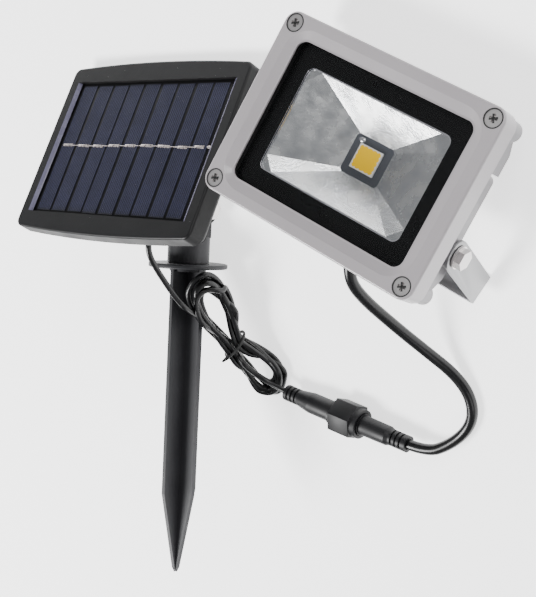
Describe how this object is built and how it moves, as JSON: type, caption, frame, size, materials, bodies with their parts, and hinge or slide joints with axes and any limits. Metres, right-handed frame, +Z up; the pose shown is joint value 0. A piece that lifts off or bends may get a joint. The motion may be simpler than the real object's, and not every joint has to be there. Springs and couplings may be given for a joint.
{
  "type": "solar flood light",
  "caption": "Solar flood light set lying on a table: a small lamp on a U bracket, joined by leads and a screw-locked plug to a solar panel on a tilting ground stake.",
  "frame": {"origin": "on the table under the middle of the lamp, bracket, panel and stake, leads left out", "axes": "+Z up from the table; the stake points towards -Y, the panel lies on the -X side and the lamp on the +X side"},
  "size_m": [0.2808, 0.2806, 0.0772],
  "materials": {
    "lamp_paint": "powder-coated, semi-gloss",
    "bright_sheet": "bright textured",
    "plate_metal": "dull",
    "clear_glass": "polished",
    "seal_rubber": "matt",
    "chip_yellow": "matt",
    "chip_white": "matt",
    "screw_steel": "bright zinc",
    "strap_steel": "zinc plated",
    "black_plastic": "fine texture",
    "cell_blue": "glossy",
    "cover_black": "glossy",
    "board_green": "satin",
    "component_grey": "satin",
    "cord_black": "semi-gloss",
    "battery_wrap": "satin sleeve",
    "brass_pin": "bright"
  },
  "bodies": {
    "lamp_and_panel": {"battery": "battery_wrap", "body_gasket": "seal_rubber", "bracket_bolts": "screw_steel", "bracket_washers": "screw_steel", "cell_board": "board_green", "cell_cover": "cover_black", "charge_board": "board_green", "charge_components": "component_grey", "contact_pins": "brass_pin", "cord_hank": "cord_black", "cord_tie": "cord_black", "driver_board": "board_green", "driver_box": "lamp_paint", "driver_components": "component_grey", "driver_gasket": "seal_rubber", "driver_screws": "screw_steel", "frame_screws": "screw_steel", "gland_body": "black_plastic", "gland_cap": "black_plastic", "gland_seal": "seal_rubber", "glass_gasket": "seal_rubber", "hinge_bolt": "screw_steel", "hinge_nut": "screw_steel", "hinge_saddle": "black_plastic", "hinge_saddle_screws": "screw_steel", "lamp_body": "lamp_paint", "lamp_cable": "cord_black", "lamp_front_frame": "lamp_paint", "lamp_glass": "clear_glass", "lead_grommet": "seal_rubber", "led_chip_frame": "chip_white", "led_phosphor": "chip_yellow", "led_plate": "plate_metal", "led_plate_screws": "screw_steel", "panel_front_frame": "black_plastic", "panel_lead": "cord_black", "panel_rear_shell": "black_plastic", "panel_screws": "screw_steel", "plug_half": "black_plastic", "plug_lead": "cord_black", "plug_seal": "seal_rubber", "reflector": "bright_sheet", "socket_half": "black_plastic", "solar_cells": "cell_blue"},
    "tilt_fork": {"tilt_head": "black_plastic"},
    "stake": {"ground_spike": "black_plastic"},
    "lamp_bracket": {"bracket": "strap_steel"},
    "locking_nut": {"coupling_nut": "black_plastic"}
  },
  "joints": [
    {"name": "bracket_swing", "type": "hinge", "parent": "lamp_and_panel", "child": "lamp_bracket", "pos_m": [0.06365, 0.0601, 0.03588], "axis": [0.9107, -0.4131, 0], "range_deg": [-25, 70]},
    {"name": "panel_tilt", "type": "hinge", "parent": "lamp_and_panel", "child": "tilt_fork", "pos_m": [-0.07408, 0.04079, 0.00934], "axis": [1, 0, 0], "range_deg": [-20, 65]},
    {"name": "stake_turn", "type": "hinge", "parent": "tilt_fork", "child": "stake", "pos_m": [-0.07408, 0.01293, 0.01964], "axis": [0, -0.9379, 0.3469], "continuous": true},
    {"name": "nut_turn", "type": "hinge", "parent": "lamp_and_panel", "child": "locking_nut", "pos_m": [0.00694, -0.06773, 0.00835], "axis": [0.978, -0.2084, 0], "continuous": true}
  ]
}
